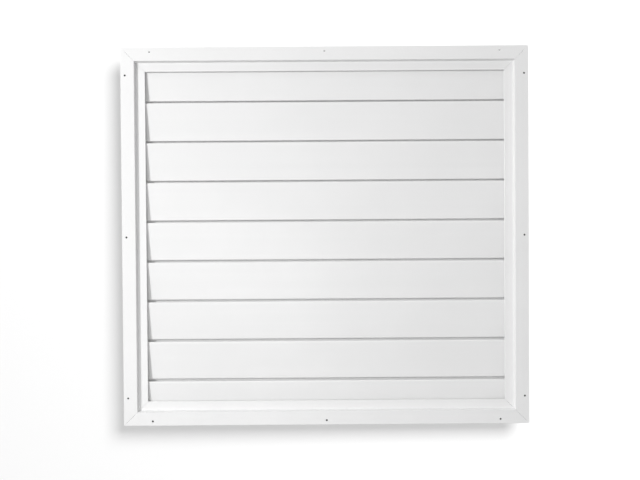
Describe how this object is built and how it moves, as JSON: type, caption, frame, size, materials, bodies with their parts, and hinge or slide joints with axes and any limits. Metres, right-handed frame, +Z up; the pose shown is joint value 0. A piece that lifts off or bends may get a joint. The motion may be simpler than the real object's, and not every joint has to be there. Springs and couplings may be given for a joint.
{
  "type": "whole house fan shutter",
  "caption": "White flanged frame with a row of linked gravity blades that swing back to let a whole house fan's air through and drop shut when it stops.",
  "frame": {"origin": "centre of the flange's screw pattern, on the back face of the mounting flange", "axes": "+X along the blades to the right seen from the face, +Y from the face back into the duct, +Z up the frame"},
  "size_m": [0.9018, 0.057, 0.8382],
  "materials": {
    "white_frame_paint": "satin white baked enamel",
    "white_blade_paint": "satin white baked enamel",
    "mill_aluminium": "plain mill finish",
    "zinc_steel": "bright zinc plate",
    "nylon": "natural moulded nylon",
    "felt": "pressed light grey felt"
  },
  "bodies": {
    "frame": {"bottom_rail": "white_frame_paint", "top_rail": "white_frame_paint", "left_rail": "white_frame_paint", "right_rail": "white_frame_paint", "bottom_left_corner_key": "mill_aluminium", "bottom_right_corner_key": "mill_aluminium", "top_left_corner_key": "mill_aluminium", "top_right_corner_key": "mill_aluminium", "left_bushings": "nylon", "right_bushings": "nylon", "closing_seal": "felt"},
    "blade_5_set": {"blade_5": "white_blade_paint", "hinge_rod_5": "zinc_steel", "crank_5": "zinc_steel"},
    "blade_1_set": {"blade_1": "white_blade_paint", "hinge_rod_1": "zinc_steel", "crank_1": "zinc_steel"},
    "blade_2_set": {"blade_2": "white_blade_paint", "hinge_rod_2": "zinc_steel", "crank_2": "zinc_steel"},
    "blade_3_set": {"blade_3": "white_blade_paint", "hinge_rod_3": "zinc_steel", "crank_3": "zinc_steel"},
    "blade_4_set": {"blade_4": "white_blade_paint", "hinge_rod_4": "zinc_steel", "crank_4": "zinc_steel"},
    "blade_6_set": {"blade_6": "white_blade_paint", "hinge_rod_6": "zinc_steel", "crank_6": "zinc_steel"},
    "blade_7_set": {"blade_7": "white_blade_paint", "hinge_rod_7": "zinc_steel", "crank_7": "zinc_steel"},
    "blade_8_set": {"blade_8": "white_blade_paint", "hinge_rod_8": "zinc_steel", "crank_8": "zinc_steel"},
    "blade_9_set": {"blade_9": "white_blade_paint", "hinge_rod_9": "zinc_steel", "crank_9": "zinc_steel"},
    "tie_bar": {"tie_bar": "zinc_steel"}
  },
  "joints": [
    {"name": "blade_5_hinge", "type": "hinge", "parent": "frame", "child": "blade_5_set", "pos_m": [0, 0.0158, 0.0292], "axis": [1, 0, 0], "range_deg": [0, 75]},
    {"name": "blade_1_hinge", "type": "hinge", "parent": "frame", "child": "blade_1_set", "pos_m": [0, 0.0158, 0.3848], "axis": [1, 0, 0], "range_deg": [0, 75]},
    {"name": "blade_2_hinge", "type": "hinge", "parent": "frame", "child": "blade_2_set", "pos_m": [0, 0.0158, 0.2959], "axis": [1, 0, 0], "range_deg": [0, 75]},
    {"name": "blade_3_hinge", "type": "hinge", "parent": "frame", "child": "blade_3_set", "pos_m": [0, 0.0158, 0.207], "axis": [1, 0, 0], "range_deg": [0, 75]},
    {"name": "blade_4_hinge", "type": "hinge", "parent": "frame", "child": "blade_4_set", "pos_m": [0, 0.0158, 0.1181], "axis": [1, 0, 0], "range_deg": [0, 75]},
    {"name": "blade_6_hinge", "type": "hinge", "parent": "frame", "child": "blade_6_set", "pos_m": [0, 0.0158, -0.0597], "axis": [1, 0, 0], "range_deg": [0, 75]},
    {"name": "blade_7_hinge", "type": "hinge", "parent": "frame", "child": "blade_7_set", "pos_m": [0, 0.0158, -0.1486], "axis": [1, 0, 0], "range_deg": [0, 75]},
    {"name": "blade_8_hinge", "type": "hinge", "parent": "frame", "child": "blade_8_set", "pos_m": [0, 0.0158, -0.2375], "axis": [1, 0, 0], "range_deg": [0, 75]},
    {"name": "blade_9_hinge", "type": "hinge", "parent": "frame", "child": "blade_9_set", "pos_m": [0, 0.0158, -0.3264], "axis": [1, 0, 0], "range_deg": [0, 75]},
    {"name": "tie_bar_pivot", "type": "hinge", "parent": "blade_5_set", "child": "tie_bar", "pos_m": [0.41125, 0.02517, -0.00348], "axis": [1, 0, 0], "range_deg": [-75, 0]}
  ],
  "couplings": [
    {"joint": "blade_1_hinge", "follows": "blade_5_hinge", "ratio": 1},
    {"joint": "blade_2_hinge", "follows": "blade_5_hinge", "ratio": 1},
    {"joint": "blade_3_hinge", "follows": "blade_5_hinge", "ratio": 1},
    {"joint": "blade_4_hinge", "follows": "blade_5_hinge", "ratio": 1},
    {"joint": "blade_6_hinge", "follows": "blade_5_hinge", "ratio": 1},
    {"joint": "blade_7_hinge", "follows": "blade_5_hinge", "ratio": 1},
    {"joint": "blade_8_hinge", "follows": "blade_5_hinge", "ratio": 1},
    {"joint": "blade_9_hinge", "follows": "blade_5_hinge", "ratio": 1},
    {"joint": "tie_bar_pivot", "follows": "blade_5_hinge", "ratio": -1}
  ]
}
